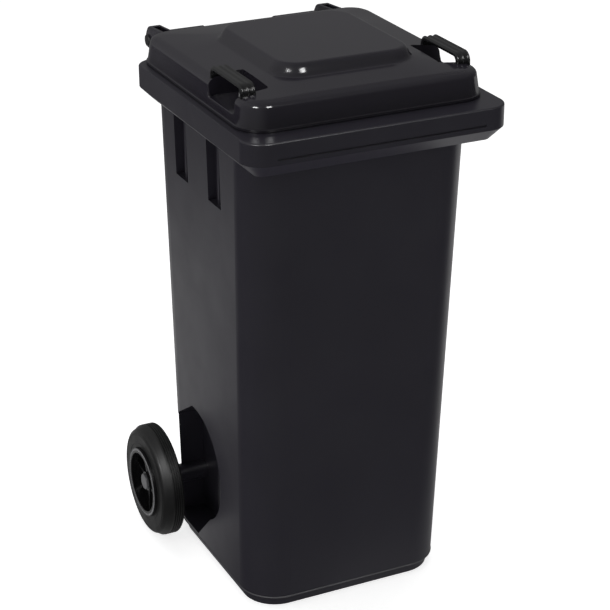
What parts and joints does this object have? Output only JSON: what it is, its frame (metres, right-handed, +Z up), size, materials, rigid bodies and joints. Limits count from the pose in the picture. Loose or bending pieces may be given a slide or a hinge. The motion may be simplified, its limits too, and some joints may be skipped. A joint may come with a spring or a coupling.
{
  "type": "wheelie bin",
  "caption": "Two-wheeled waste bin: tapered plastic tub with a deep rim, hinged lid with two arched grips, rear handle bars, steel axle and rubber-tyred wheels.",
  "frame": {"origin": "on the ground, at the middle of the overall box in X and Y", "axes": "+Z up, front of the bin towards -Y, hinge, handles and wheels towards +Y, width along X"},
  "size_m": [0.498, 0.55, 0.936],
  "materials": {
    "tub_plastic": "moulded anthracite polyethylene, slightly glossy, fine grain",
    "lid_plastic": "moulded anthracite polyethylene, satin to glossy",
    "grip_plastic": "glossy black",
    "pin_plastic": "black, satin",
    "axle_steel": "zinc plated steel",
    "hub_plastic": "black, satin, worn grey on the lip",
    "tyre_rubber": "solid black rubber, matt",
    "cap_plastic": "grey, matt",
    "washer_plastic": "black, matt",
    "latch_steel": "zinc plated steel"
  },
  "bodies": {
    "bin": {"tub": "tub_plastic", "axle": "axle_steel", "wheel_washer_left": "washer_plastic", "wheel_washer_right": "washer_plastic", "hinge_pin_left": "pin_plastic", "hinge_pin_right": "pin_plastic", "hinge_clip_left": "pin_plastic", "hinge_clip_right": "pin_plastic"},
    "lid": {"lid": "lid_plastic", "lid_grip_left": "grip_plastic", "lid_grip_right": "grip_plastic"},
    "wheel_left": {"wheel_hub_left": "hub_plastic", "tyre_left": "tyre_rubber", "axle_cap_left": "cap_plastic", "latch_spring_left": "latch_steel"},
    "latch_left": {"latch_pin_left": "latch_steel"},
    "wheel_right": {"wheel_hub_right": "hub_plastic", "tyre_right": "tyre_rubber", "axle_cap_right": "cap_plastic", "latch_spring_right": "latch_steel"},
    "latch_right": {"latch_pin_right": "latch_steel"}
  },
  "joints": [
    {"name": "lid_hinge", "type": "hinge", "parent": "bin", "child": "lid", "pos_m": [0, 0.26, 0.872], "axis": [-1, 0, 0], "range_deg": [0, 265]},
    {"name": "wheel_spin_left", "type": "hinge", "parent": "bin", "child": "wheel_left", "pos_m": [-0.225, 0.1565, 0.1], "axis": [1, 0, 0], "continuous": true},
    {"name": "latch_slide_left", "type": "slide", "parent": "wheel_left", "child": "latch_left", "axis": [0, 0, 1], "range_m": [0, 0.003], "stiffness_N_per_m": 800, "springref_m": -0.002, "deforming": ["latch_spring_left"]},
    {"name": "wheel_spin_right", "type": "hinge", "parent": "bin", "child": "wheel_right", "pos_m": [0.225, 0.1565, 0.1], "axis": [1, 0, 0], "continuous": true},
    {"name": "latch_slide_right", "type": "slide", "parent": "wheel_right", "child": "latch_right", "axis": [0, 0, 1], "range_m": [0, 0.003], "stiffness_N_per_m": 800, "springref_m": -0.002, "deforming": ["latch_spring_right"]}
  ]
}
